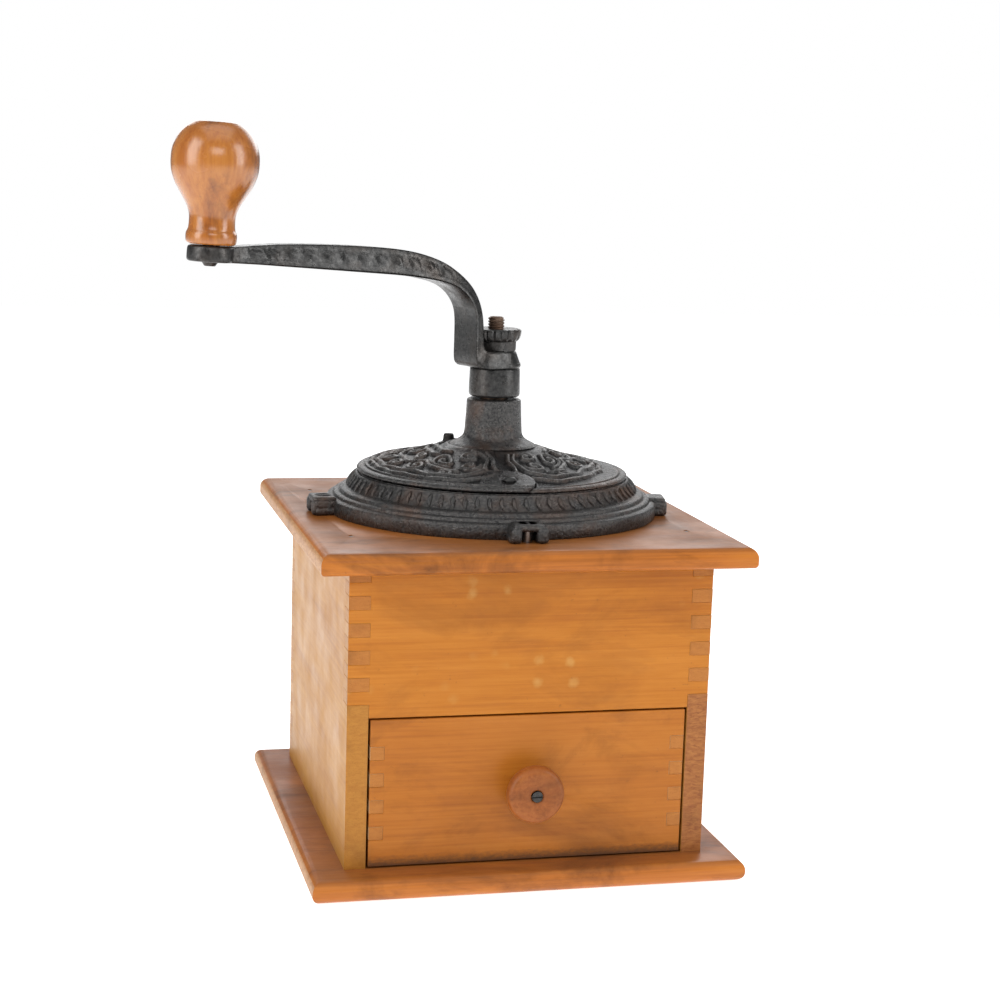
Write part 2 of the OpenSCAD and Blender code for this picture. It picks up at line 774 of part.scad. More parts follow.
// Adjusting screw with a milled head that is reached through the drawer opening
module thrust_screw() {
  head_top = bridge_foot - lock_t - adjust - 0.4;
  color("#6a6663") difference() {
    union() {
      translate([0, 0, head_top - e]) cylinder(r = thrust_r, h = screw_top - head_top + e);
      translate([0, 0, head_top - thrust_head_t]) cylinder(r = 7, h = thrust_head_t);
    }
    for (i = [0:11]) rotate([0, 0, i * 30]) translate([7.6, 0, head_top - thrust_head_t - 1]) cylinder(r = 1.2, h = thrust_head_t + 2);
    translate([0, 0, head_top - thrust_head_t]) mirror([0, 0, 1]) slot(1.2, 16, 1.2);
  }
}

module thrust_lock_nut() {
  color("#6a6663") difference() {
    translate([0, 0, bridge_foot - lock_t]) cylinder(r = 7.5, h = lock_t, $fn = 6);
    translate([0, 0, bridge_foot - lock_t - 1]) cylinder(r = thrust_r + running, h = lock_t + 2);
  }
}

// ---- crank ----

// Places its children in the crank's own frame: +X runs out along the arm
module in_crank() {
  rotate([0, 0, crank_az]) children();
}

// Frame at the knob's seat, with +Z along the knob's leaning axis
module at_knob() {
  in_crank() translate([crank_r, 0, knob_seat]) rotate([0, -knob_lean, 0]) children();
}

// Side view of the crank: pad, riser, bend and arm, with heights above the pad's foot
module crank_side() {
  riser = nut_r + 0.5;
  tip = crank_rise - boss_tip_t;
  polygon([[-pad_r, 0], [riser + 1.6, 0], [riser + 3.8, 1.1], [riser + 4.7, 3.4],
    [riser + 4.7, crank_rise - 33], [riser + 5.4, crank_rise - 27], [riser + 8.6, crank_rise - 21.6],
    [riser + 13.6, crank_rise - 18], [riser + 22.5, crank_rise - 15.2], [riser + 36, crank_rise - 12.9],
    [crank_r * 0.56, crank_rise - 10.6], [crank_r * 0.8, crank_rise - 8.2], [crank_r - 7, tip],
    [crank_r - 7, crank_rise - 0.2], [crank_r * 0.78, crank_rise + 0.9], [crank_r * 0.64, crank_rise + 0.7],
    [crank_r * 0.4, crank_rise - 1.1], [riser + 29, crank_rise - 4], [riser + 18, crank_rise - 8.2],
    [riser + 9, crank_rise - 14.8], [riser + 3.2, crank_rise - 22.4], [riser + 0.6, crank_rise - 31],
    [riser, crank_rise - 36], [riser, pad_t], [-pad_r, pad_t]]);
}

// Top view of the crank, tapering from the pad to the tip
module crank_top() {
  circle(pad_r);
  polygon([[0, -pad_r], [pad_r + 1, -crank_w / 2], [crank_r - 6, -crank_tip_w / 2],
    [crank_r - 6, crank_tip_w / 2], [pad_r + 1, crank_w / 2], [0, pad_r]]);
}

module crank_arm() {
  color("#46423f") difference() {
    union() {
      in_crank() translate([0, 0, pad_z]) intersection() {
        rotate([90, 0, 0]) translate([0, 0, -pad_r - 1]) linear_extrude(2 * pad_r + 2) crank_side();
        translate([0, 0, -1]) linear_extrude(crank_rise + 6) crank_top();
      }
      at_knob() translate([0, 0, -boss_tip_t]) cylinder(r = boss_tip_r, h = boss_tip_t);
    }
    rotate([0, 0, crank_az]) translate([-seat_w / 2, -seat_w / 2, pad_z - 1] - [1, 1, 0] * seat_play / 2)
      cube([seat_w + seat_play, seat_w + seat_play, pad_t + 2]);
    at_knob() translate([0, 0, -boss_tip_t - 2]) cylinder(r = knob_pin_r, h = boss_tip_t + 4);
    at_knob() cylinder(r = 0.63 * knob_r, h = 4);
  }
}

// Round nut with a scalloped flange for finger and thumb
module thumb_nut() {
  color("#4c4845") difference() {
    translate([0, 0, pad_top]) rotate_extrude() polygon([[0, 0], [nut_neck_r + 0.5, 0],
      [nut_neck_r - 0.4, nut_neck_h - 0.6], [nut_neck_r + 0.6, nut_neck_h], [nut_r - 0.4, nut_neck_h],
      [nut_r, nut_neck_h + 0.6], [nut_r, nut_h - 0.9], [nut_r - 0.9, nut_h], [0, nut_h]]);
    translate([0, 0, pad_top - 1]) cylinder(r = stud_r, h = nut_h + 2);
    for (i = [0:nut_scallops - 1]) rotate([0, 0, i * 360 / nut_scallops])
      translate([nut_r + 0.5, 0, pad_top + nut_neck_h - 1]) cylinder(r = 1.1, h = nut_h);
  }
}

module crank_knob() {
  outline = [for (p = knob_line) [p[0] * knob_r, p[1] * knob_h]];
  color("#7d4422") at_knob() translate([0, 0, knob_gap]) difference() {
    rotate_extrude() polygon(concat([[0, 0]], outline, [[0, knob_h]]));
    translate([0, 0, -1]) cylinder(r = knob_pin_r + running, h = knob_h + 2);
    translate([0, 0, knob_h - recess_h]) cylinder(r = recess_r, h = recess_h + 1);
  }
}

// Rivet through the knob and the arm, peened over under the arm
module knob_rivet() {
  top = knob_gap + knob_h - recess_h + 0.1 + washer_t;
  color("#4a4643") at_knob() {
    translate([0, 0, -boss_tip_t - 0.2]) cylinder(r = knob_pin_r, h = boss_tip_t + top + 0.2);
    translate([0, 0, -boss_tip_t - 1.7]) cylinder(r1 = knob_pin_r - 0.8, r2 = knob_pin_r + 0.4, h = 1.7);
    translate([0, 0, top]) cylinder(r1 = rivet_head_r, r2 = rivet_head_r - 1.6, h = 1.6);
  }
}

module knob_washer() {
  color("#77736e") at_knob() translate([0, 0, knob_gap + knob_h - recess_h + 0.1]) difference() {
    cylinder(r = recess_r - 0.6, h = washer_t);
    translate([0, 0, -1]) cylinder(r = knob_pin_r, h = washer_t + 2);
  }
}

base_board();
side_board_left();
side_board_right();
front_board();
back_board();
top_board();
base_nails();
top_nails();
drawer_front();
drawer_side_left();
drawer_side_right();
drawer_back();
drawer_bottom();
drawer_knob();
drawer_knob_screw();
hopper_casting();
hopper_screws();
hopper_lid();
lid_rivet();
grinding_case();
case_screws();
outer_burr();
burr_set_screws();
inner_burr();
burr_pin();
spindle();
spindle_collar();
bridge_bar();
bridge_screws();
thrust_disc();
thrust_screw();
thrust_lock_nut();
crank_arm();
thumb_nut();
crank_knob();
knob_rivet();
knob_washer();
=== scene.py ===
# %% [markdown]
# # Hand crank coffee grinder
# A box mill: a maple box with a drawer, a cast iron hopper with a swing-out lid, a grinding set under
# the top board, and a crank with a turned knob. The CAD model gives every place and size, and this
# lesson adds the surfaces: castings with relief, turned wood, worn boards, screw threads.
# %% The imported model
import bpy, bmesh, json, math, random
import numpy as np
from mathutils import Matrix, Vector

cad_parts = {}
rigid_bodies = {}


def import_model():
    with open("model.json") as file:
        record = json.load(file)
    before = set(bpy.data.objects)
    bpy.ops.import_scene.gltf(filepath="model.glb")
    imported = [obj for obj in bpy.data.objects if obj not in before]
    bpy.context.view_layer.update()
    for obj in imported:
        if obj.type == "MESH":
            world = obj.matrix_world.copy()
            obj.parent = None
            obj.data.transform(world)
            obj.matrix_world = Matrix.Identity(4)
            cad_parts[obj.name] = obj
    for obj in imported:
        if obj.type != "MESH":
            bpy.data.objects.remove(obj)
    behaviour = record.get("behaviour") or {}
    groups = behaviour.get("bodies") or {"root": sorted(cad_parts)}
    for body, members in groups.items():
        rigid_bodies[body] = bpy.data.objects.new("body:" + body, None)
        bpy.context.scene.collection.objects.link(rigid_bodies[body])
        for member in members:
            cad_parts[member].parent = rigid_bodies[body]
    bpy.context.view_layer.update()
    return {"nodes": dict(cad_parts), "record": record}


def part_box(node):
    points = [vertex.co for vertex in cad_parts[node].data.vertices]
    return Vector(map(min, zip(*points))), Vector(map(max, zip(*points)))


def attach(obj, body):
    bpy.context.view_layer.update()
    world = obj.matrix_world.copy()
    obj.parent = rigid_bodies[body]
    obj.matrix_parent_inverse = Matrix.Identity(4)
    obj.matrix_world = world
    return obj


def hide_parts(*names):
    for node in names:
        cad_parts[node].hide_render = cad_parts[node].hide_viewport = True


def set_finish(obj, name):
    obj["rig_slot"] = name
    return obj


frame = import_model()
BODY = {n: b for b, ns in frame["record"]["behaviour"]["bodies"].items() for n in ns}

# %% [markdown]
# ## Camera, floor and light
# The mill is seen from a little above and from the left of its front, through a long lens, so that its
# verticals stay almost parallel. Two tall soft boxes at the sides give iron its pale bands. Weaker ones
# stand above, behind and in front. The room is dim grey for the mill, and plain white for the camera.
# %% Camera, floor and light
scene = bpy.context.scene
scene.view_settings.view_transform = "Standard"
lens = bpy.data.cameras.new("camera")
lens.lens, lens.sensor_width = 73.57, 36.0
camera = bpy.data.objects.new("camera", lens)
camera.location = (-0.21511, -0.88336, 0.30441)
camera.rotation_euler = [math.radians(a) for a in (80.389, -1.758, -13.647)]
scene.collection.objects.link(camera)
scene.camera = camera
MIDDLE = (0, 0, 0.15)


def soft_box(name, place, size, power):
    light = bpy.data.lights.new(name, "AREA")
    light.shape, light.size, light.size_y = "RECTANGLE", size[0], size[1]
    light.energy = power
    lamp = bpy.data.objects.new(name, light)
    lamp.location = place
    aim = Vector(MIDDLE) - Vector(place)
    lamp.rotation_euler = aim.to_track_quat("-Z", "Y").to_euler()
    scene.collection.objects.link(lamp)


soft_box("light_left", (-1.3, -0.5, 0.75), (0.7, 1.3), 14)
soft_box("light_right", (1.25, -0.75, 0.7), (0.6, 1.2), 12)
soft_box("light_top", (0.0, -0.2, 1.5), (1.3, 1.3), 6)
soft_box("light_back", (0.35, 1.2, 0.75), (1.6, 0.7), 8)
soft_box("light_front", (-0.1, -1.5, 0.9), (0.9, 0.5), 5.5)

world = bpy.data.worlds.new("room")
scene.world = world
world.use_nodes = True
wn, wl = world.node_tree.nodes, world.node_tree.links
room = wn["Background"]
room.inputs["Color"].default_value = (0.62, 0.64, 0.66, 1)
room.inputs["Strength"].default_value = 0.3
plain = wn.new("ShaderNodeBackground")
plain.inputs["Color"].default_value = (1, 1, 1, 1)
path, pick = wn.new("ShaderNodeLightPath"), wn.new("ShaderNodeMixShader")
wl.new(path.outputs["Is Camera Ray"], pick.inputs[0])
wl.new(room.outputs[0], pick.inputs[1])
wl.new(plain.outputs[0], pick.inputs[2])
wl.new(pick.outputs[0], wn["World Output"].inputs[0])

bm = bmesh.new()
bmesh.ops.create_grid(bm, x_segments=4, y_segments=4, size=3)
bmesh.ops.translate(bm, verts=bm.verts, vec=(0, 0, -0.0004))  # just under the base board
mesh = bpy.data.meshes.new("floor")
bm.to_mesh(mesh)
bm.free()
floor = bpy.data.objects.new("floor", mesh)
scene.collection.objects.link(floor)
paper = bpy.data.materials.new("paper")
paper.use_nodes = True
sheen = paper.node_tree.nodes["Principled BSDF"]
sheen.inputs["Base Color"].default_value = (0.8, 0.8, 0.8, 1)
sheen.inputs["Roughness"].default_value = 0.9
sheen.inputs["Emission Color"].default_value = (1, 1, 1, 1)
sheen.inputs["Emission Strength"].default_value = 0.85
mesh.materials.append(paper)

# %% [markdown]
# ## Helpers for finishes
# Every finish is a small graph of noise on the object's own coordinates, in metres. Old varnish darkens
# in patches; cast iron keeps the grain of the sand it was poured in.
# %% Finish helpers


class Finish:
    """A material under construction: n() adds a node, and each step returns a socket."""

    def __init__(self, name):
        self.mat = bpy.data.materials.new(name)
        self.mat.use_nodes = True
        self.tree = self.mat.node_tree
        self.skin = self.tree.nodes["Principled BSDF"]
        self.place = self.n("ShaderNodeTexCoord").outputs["Object"]

    def n(self, kind, **props):
        node = self.tree.nodes.new(kind)
        for key, value in props.items():
            setattr(node, key, value)
        return node

    def put(self, socket, value):
        if hasattr(value, "default_value") or hasattr(value, "is_linked"):
            self.tree.links.new(value, socket)
        else:
            socket.default_value = value

    def stretched(self, scale):
        m = self.n("ShaderNodeMapping")
        self.put(m.inputs["Vector"], self.place)
        m.inputs["Scale"].default_value = scale
        return m.outputs[0]

    def noise(self, at, scale, detail=4, rough=0.55, bend=0.0):
        t = self.n("ShaderNodeTexNoise")
        self.put(t.inputs["Vector"], at)
        for key, value in (("Scale", scale), ("Detail", detail), ("Roughness", rough), ("Distortion", bend)):
            t.inputs[key].default_value = value
        return t.outputs["Fac"]

    def cells(self, at, scale):
        t = self.n("ShaderNodeTexVoronoi")
        self.put(t.inputs["Vector"], at)
        t.inputs["Scale"].default_value = scale
        return t.outputs["Distance"]

    def ramp(self, value, *stops):
        """A ramp of (place, colour or grey) stops."""
        node = self.n("ShaderNodeValToRGB")
        elements = node.color_ramp.elements
        while len(elements) < len(stops):
            elements.new(0.5)
        for e, (at, c) in zip(elements, stops):
            e.position = at
            e.color = (c, c, c, 1) if isinstance(c, (int, float)) else (*c, 1)
        self.put(node.inputs[0], value)
        return node.outputs[0]

    def mix(self, share, a, b):
        """Blends two colours; sockets 6 and 7 are the node's colour pair."""
        m = self.n("ShaderNodeMix", data_type="RGBA")
        for socket, value in ((m.inputs[0], share), (m.inputs[6], a), (m.inputs[7], b)):
            self.put(socket, (*value, 1) if isinstance(value, tuple) and len(value) == 3 else value)
        return m.outputs[2]

    def sum(self, a, b, how="ADD"):
        m = self.n("ShaderNodeMath", operation=how)
        self.put(m.inputs[0], a)
        self.put(m.inputs[1], b)
        return m.outputs[0]

    def height(self):
        s = self.n("ShaderNodeSeparateXYZ")
        self.put(s.inputs[0], self.place)
        return s.outputs["Z"]

    def done(self, colour, rough, bump, depth, metal=0.0, coat=0.0, gloss=0.5):
        """Joins the graph to the surface; depth is the height of the bumps in metres."""
        self.put(self.skin.inputs["Base Color"], colour)
        self.put(self.skin.inputs["Roughness"], rough)
        self.skin.inputs["Metallic"].default_value = metal
        self.skin.inputs["Coat Weight"].default_value = coat
        self.skin.inputs["Specular IOR Level"].default_value = gloss
        self.skin.inputs["Coat Roughness"].default_value = 0.22
        b = self.n("ShaderNodeBump")
        b.inputs["Strength"].default_value = 1.0
        b.inputs["Distance"].default_value = depth
        self.put(b.inputs["Height"], bump)
        self.put(self.skin.inputs["Normal"], b.outputs[0])
        return self.mat


# %% [markdown]
# ## Wood
# The box is maple under an old orange varnish, with fine grain along each board. Grain is fine noise
# that is stretched fifty times along the board, over broad bands that are stretched less. Pores are
# shorter, darker dashes. Stains hardly follow the grain, and water spots not at all. End grain is a little
# darker, because it drinks more varnish.
# %% Wood finishes
SPOT_SHADE, FOOT_SHADE, GRIME_SHADE = (0.55, 0.33, 0.1), (0.09, 0.045, 0.022), (0.06, 0.03, 0.012)
BLUR = 0.0003


def along(axis, fine, stretch):
    """Scale of a texture that is drawn out along one axis."""
    return tuple(fine / stretch if axis == a else fine for a in "XYZ")


def wood(name, axis, pale, mid, dark, rough=0.4, stain=0.35, coat=0.04, gloss=0.22, spots=0.0, figure=1.0,
         top=None, dark_foot_level=None):
    """Wood with its grain along an axis. top is the (level, shade) of a dirty upper face, and the wood is
    darker, in a ragged band, below the level of the last argument."""
    f = Finish(name)
    fibre = f.noise(f.stretched(along(axis, 800, 50)), 1, 5, 0.6)
    band = f.noise(f.stretched(along(axis, 60, 6)), 1, 5, 0.62, 0.6)
    pore = f.noise(f.stretched(along(axis, 2400, 22)), 1, 2, 0.5)
    patch = f.noise(f.stretched(along(axis, 34, 1.8)), 1, 6, 0.66, 0.5)
    tone = f.sum(f.sum(band, 0.55 * figure, "MULTIPLY"), f.sum(fibre, 0.45, "MULTIPLY"))
    colour = f.ramp(tone, (0.28, dark), (0.48, mid), (0.68, pale))
    colour = f.mix(f.ramp(pore, (0.6, 0.0), (0.74, 0.22)), colour, dark)
    colour = f.mix(f.ramp(patch, (0.5, 0.0), (0.68, stain)), colour, tuple(0.55 * c for c in dark))
    if spots:
        bent = f.sum(f.cells(f.place, 85), f.sum(f.noise(f.place, 260, 3), 0.25, "MULTIPLY"))
        where = f.noise(f.place, 17, 2)
        dots, some = f.ramp(bent, (0.2, 1.0), (0.36, 0.0)), f.ramp(where, (0.5, 0.0), (0.6, spots))
        colour = f.mix(f.sum(dots, some, "MULTIPLY"), colour, SPOT_SHADE)
    ragged = f.sum(f.noise(f.stretched(along(axis, 900, 2.4)), 1, 4, 0.75), 0.006, "MULTIPLY")
    # Darker towards the bottom: a ragged dark band below the given level.
    if dark_foot_level:
        low = f.ramp(f.sum(f.height(), ragged, "SUBTRACT"), (dark_foot_level - BLUR, 0.9), (dark_foot_level + BLUR, 0.0))
        colour = f.mix(low, colour, FOOT_SHADE)
    if top:
        top_level, shade = top
        up = f.sum(f.height(), f.sum(ragged, 0.12, "MULTIPLY"))
        face = f.ramp(up, (top_level - 0.0004, 0.0), (top_level + 0.0004, 1.0))
        dirt = f.ramp(f.noise(f.place, 30, 5, 0.65), (0.3, 0.5), (0.6, 1.0))
        colour = f.mix(f.sum(face, dirt, "MULTIPLY"), colour, shade)
    grime = f.noise(f.place, 420, 3, 0.7)
    colour = f.mix(f.ramp(grime, (0.68, 0.0), (0.76, 0.35)), colour, GRIME_SHADE)
    shine = f.ramp(f.noise(f.place, 60, 3), (0.3, rough - 0.08), (0.75, rough + 0.14))
    relief_of_grain = f.sum(fibre, f.sum(pore, 0.6, "MULTIPLY"))
    return f.done(colour, shine, relief_of_grain, 0.00005, coat=coat, gloss=gloss)


def end_grain(name, pale, dark, rough=0.45):
    f = Finish(name)
    ring = f.noise(f.stretched((300, 300, 900)), 1, 4, 0.55, 0.8)
    dots = f.cells(f.place, 1500)
    colour = f.ramp(ring, (0.3, dark), (0.65, pale))
    colour = f.mix(f.ramp(dots, (0.05, 0.5), (0.3, 0.0)), colour, tuple(0.4 * c for c in dark))
    patch = f.noise(f.place, 70, 3)
    colour = f.mix(f.ramp(patch, (0.5, 0.0), (0.75, 0.5)), colour, tuple(0.5 * c for c in dark))
    return f.done(colour, rough, ring, 0.00006, coat=0.03, gloss=0.22)


honey = ((0.5, 0.185, 0.022), (0.43, 0.145, 0.013), (0.31, 0.088, 0.008))
BASE_TOP, TOP_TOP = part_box("base_board")[1].z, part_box("top_board")[1].z
box_x = wood("box_wood_x", "X", *honey, spots=0.4)
box_y = wood("box_wood_y", "Y", (0.48, 0.235, 0.045), (0.41, 0.185, 0.03), (0.32, 0.125, 0.018),
             stain=0.12)
box_end = end_grain("box_end_grain", (0.41, 0.155, 0.03), (0.36, 0.128, 0.024))
side_end = end_grain("side_end_grain", (0.44, 0.21, 0.06), (0.38, 0.17, 0.045))
post_left = end_grain("post_left", (0.41, 0.175, 0.028), (0.34, 0.135, 0.02), 0.45)
post_right = end_grain("post_right", (0.36, 0.14, 0.038), (0.22, 0.07, 0.02), 0.45)
drawer_x = wood("drawer_wood_x", "X", (0.45, 0.16, 0.02), (0.39, 0.125, 0.013), (0.28, 0.08, 0.009), stain=0.5,
                dark_foot_level=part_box("drawer_front")[0].z - 0.0002)
board_tones = ((0.5, 0.17, 0.022), (0.41, 0.125, 0.016), (0.22, 0.065, 0.01))
base_x = wood("base_wood_x", "X", *board_tones, stain=0.85, gloss=0.3, top=(BASE_TOP, (0.15, 0.06, 0.026)))
top_x = wood("top_wood_x", "X", *board_tones, stain=0.85, gloss=0.24, top=(TOP_TOP, (0.1, 0.055, 0.032)))
board_end = end_grain("board_end_grain", (0.5, 0.27, 0.12), (0.34, 0.15, 0.055))
bare = ((0.6, 0.42, 0.24), (0.5, 0.33, 0.17), (0.36, 0.22, 0.1))
bare_x = wood("bare_wood_x", "X", *bare, rough=0.7, stain=0.3, coat=0.0)
bare_y = wood("bare_wood_y", "Y", *bare, rough=0.7, stain=0.3, coat=0.0)
bare_end = end_grain("bare_end_grain", (0.45, 0.3, 0.15), (0.3, 0.18, 0.08), 0.75)
knob_wood = wood("knob_wood", "Z", (0.42, 0.155, 0.026), (0.32, 0.095, 0.012), (0.13, 0.028, 0.005),
                 rough=0.22, stain=0.95, coat=0.6, gloss=0.45, figure=1.25)
pull_wood = wood("pull_wood", "Y", (0.36, 0.125, 0.03), (0.29, 0.085, 0.018), (0.16, 0.045, 0.01),
                 rough=0.4, stain=0.5)
print("wood finishes:", len([m for m in bpy.data.materials if m.name != "paper"]))

# %% [markdown]
# ## Iron and steel
# The hopper was cast in sand and left unpainted: grey-black, pebbled, with brown rust in patches. The
# crank and collar are darker and smoother; their darker colour is in part painted shade, for the dark
# front of the room that the arm's broad faces reflect. The burrs and most screws are plain steel.
# %% Metal finishes


def iron(name, dark, pale, rust, rough, grain, depth, metal, rusting, carved=False):
    """Iron or steel with rust in patches; on relief, painted shade in the ground and painted highlight on top.
    """
    f = Finish(name)
    sand = f.noise(f.place, grain, 5, 0.65)
    lumps = f.noise(f.place, grain / 7, 3, 0.5)
    patch = f.noise(f.place, 38, 5, 0.65, 0.4)
    colour = f.mix(f.ramp(sand, (0.35, 0.0), (0.7, 1.0)), dark, pale)
    colour = f.mix(f.ramp(patch, (0.47, 0.0), (0.72, rusting)), colour, rust)
    colour = f.mix(f.ramp(lumps, (0.6, 0.0), (0.75, 0.5)), colour, tuple(0.5 * c for c in dark))
    if carved:
        # Painted light on relief: painted shade in the low ground, painted highlight on the high strands.
        raised = f.n("ShaderNodeAttribute", attribute_name="raised").outputs["Fac"]
        colour = f.mix(f.ramp(raised, (0.05, 0.75), (0.5, 0.0)), colour, tuple(0.4 * c for c in dark))
        colour = f.mix(f.ramp(raised, (0.7, 0.0), (1.0, 0.35)), colour, tuple(1.7 * c for c in pale))
    shine = f.ramp(f.noise(f.place, grain / 3, 3), (0.3, rough - 0.1), (0.7, rough + 0.14))
    return f.done(colour, shine, f.sum(sand, lumps), depth, metal)


sooty = ((0.03, 0.03, 0.031), (0.11, 0.105, 0.1), (0.12, 0.06, 0.034), 0.31, 900, 0.0005, 0.75, 0.65)
cast_iron = iron("cast_iron", *sooty)
relief_shaded_iron = iron("relief_shaded_iron", *sooty, carved=True)
# This iron is darker in part as painted shade, for the dark front that the crank arm's faces reflect.
dark_iron = iron("dark_iron", (0.03, 0.03, 0.03), (0.075, 0.074, 0.072), (0.07, 0.045, 0.03),
                 0.32, 700, 0.00012, 0.8, 0.35)
rusty_steel = iron("rusty_steel", (0.09, 0.055, 0.038), (0.2, 0.14, 0.1), (0.17, 0.07, 0.03),
                   0.5, 1600, 0.00008, 0.6, 0.9)
steel = iron("steel", (0.3, 0.29, 0.28), (0.5, 0.49, 0.47), (0.26, 0.19, 0.13),
             0.3, 1400, 0.00004, 0.95, 0.35)
print("all finishes:", len(bpy.data.materials) - 1)

# %% [markdown]
# ## Helpers for shapes
# Shapes are made in millimetres and scaled to metres at the end. A turned or cast round shape is a
# profile spun about an axis; a flat part is its CAD solid with its sharp edges eased.
# %% Shape helpers
MM = 0.001


def level(node, top=True):
    """Lowest or highest level of a CAD node, in millimetres."""
    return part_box(node)[1 if top else 0].z / MM


def new_piece(bm, name, mats, body, slot, stands_for=(), bevel=0.0, smooth=40, scale=MM, sheet=0.0):
    """Makes a piece that rides on a body and stands for CAD nodes. smooth is the angle in degrees up to
    which shading runs on, and sheet is the wall that an open sheet gets, in millimetres."""
    bmesh.ops.remove_doubles(bm, verts=bm.verts, dist=0.002 if scale == MM else 2e-6)
    bmesh.ops.recalc_face_normals(bm, faces=bm.faces)
    if sheet and sum(f.normal.z for f in bm.faces) < 0:
        bmesh.ops.reverse_faces(bm, faces=bm.faces)
    bmesh.ops.scale(bm, vec=(scale,) * 3, verts=bm.verts)
    mesh = bpy.data.meshes.new(name)
    bm.to_mesh(mesh)
    bm.free()
    for m in mats if isinstance(mats, (list, tuple)) else [mats]:
        mesh.materials.append(m)
    mesh.shade_smooth()
    mesh.set_sharp_from_angle(angle=math.radians(smooth))
    obj = bpy.data.objects.new(name, mesh)
    scene.collection.objects.link(obj)
    if sheet:
        mod = obj.modifiers.new("wall", "SOLIDIFY")
        mod.thickness, mod.offset = sheet * MM, -1
    if bevel:
        mod = obj.modifiers.new("eased", "BEVEL")
        mod.width, mod.segments, mod.limit_method, mod.angle_limit = bevel * MM, 2, "ANGLE", math.radians(35)
    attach(obj, body)
    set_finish(obj, slot)
    if stands_for:
        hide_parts(*stands_for)
    return obj


def spun(bm, profile, steps, start=Matrix.Identity(4)):
    """Spins a profile of (radius, height) points about the upright axis of the frame start."""
    verts = [bm.verts.new(start @ Vector((r, 0, z))) for r, z in profile]
    edges = [bm.edges.new(pair) for pair in zip(verts, verts[1:])]
    bmesh.ops.spin(bm, geom=verts + edges, cent=start.translation, axis=start.to_3x3() @ Vector((0, 0, 1)),
                   dvec=(0, 0, 0), angle=math.tau, steps=steps, use_merge=True)


def curved(points, between=6):
    """Smooth line through points of any dimension (Catmull-Rom)."""
    p = np.array(points, float)
    p = np.vstack([2 * p[0] - p[1], p, 2 * p[-1] - p[-2]])
    out = []
    for i in range(1, len(p) - 2):
        for t in np.linspace(0, 1, between, endpoint=False):
            a, b, c, d = p[i - 1:i + 3]
            bend, twist = 2 * a - 5 * b + 4 * c - d, 3 * b - a - 3 * c + d
            out.append(0.5 * (2 * b + (c - a) * t + bend * t * t + twist * t ** 3))
    out.append(p[-2])
    return [tuple(q) for q in out]


def eased(node, name, mats, slot, width, end=None, choose=None):
    """A copy of a CAD node with its facets merged and its edges eased. end is the board's grain axis,
    whose faces get the second material; or else choose gives each face its own."""
    bm = bmesh.new()
    bm.from_mesh(frame["nodes"][node].data)
    bmesh.ops.remove_doubles(bm, verts=bm.verts, dist=1e-6)
    bmesh.ops.dissolve_limit(bm, angle_limit=math.radians(1.5), verts=bm.verts, edges=bm.edges)
    for f in bm.faces:
        if end is not None and abs(f.normal[end]) > 0.8:
            f.material_index = 1
        if choose:
            f.material_index = choose(f)
    return new_piece(bm, name, mats, BODY[node], slot, [node], width, 40, 1.0)

# %% [markdown]
# ## The box
# Four maple boards are finger-jointed at the corners and nailed between a base board and a top board.
# Each board keeps its CAD shape, with its edges eased by up to half a millimetre, as sanding leaves
# them. The grain runs along each board, so its two ends show end grain, also where a finger comes
# through. Beside the drawer, the ends of the side boards show as two posts.
# %% Box boards
X, Y = 0, 1
BOX_EDGE, BOARD_EDGE = 0.35, 0.5
POST_TOP = 0.074


def side_face(face):
    """Which material a side board's face has: 0 on its sides, 1 on its ends and 2 on its post."""
    if abs(face.normal.y) < 0.8:
        return 0
    return 2 if face.calc_center_median().z < POST_TOP and face.normal.y < 0 else 1


eased("front_board", "box_front", [box_x, side_end], "box_wood", BOX_EDGE, X)
eased("back_board", "box_back", [box_x, side_end], "box_wood", BOX_EDGE, X)
for hand, post in (("left", post_left), ("right", post_right)):
    eased("side_board_" + hand, "box_side_" + hand, [box_y, box_end, post], "box_wood", BOX_EDGE,
          choose=side_face)
eased("base_board", "base_worn", [base_x, board_end], "board_wood", BOARD_EDGE, X)
eased("top_board", "top_worn", [top_x, board_end], "board_wood", BOARD_EDGE, X)
for node in ("base_nails", "top_nails"):
    eased(node, node + "_worn", dark_iron, "dark_iron", 0.15)
boards = [o for o in bpy.data.objects if o.get("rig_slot") in ("box_wood", "board_wood")]
print("box boards:", len(boards), "pieces of wood")

# %% [markdown]
# ## The drawer
# The front is finger-jointed to the two sides, and the bottom slides in a groove. Only the front was
# varnished. The pull is a turned mushroom of darker wood on a round spigot, held by one screw.
# %% Drawer
eased("drawer_front", "drawer_face", [drawer_x, box_end], "box_wood", 0.3, X)
eased("drawer_side_left", "drawer_wall_left", [bare_y, box_end], "plain_wood", 0.3, Y)
eased("drawer_side_right", "drawer_wall_right", [bare_y, box_end], "plain_wood", 0.3, Y)
eased("drawer_back", "drawer_wall_back", [bare_x, bare_end], "plain_wood", 0.3, X)
eased("drawer_bottom", "drawer_floor", [bare_y, bare_end], "plain_wood", 0.2, Y)

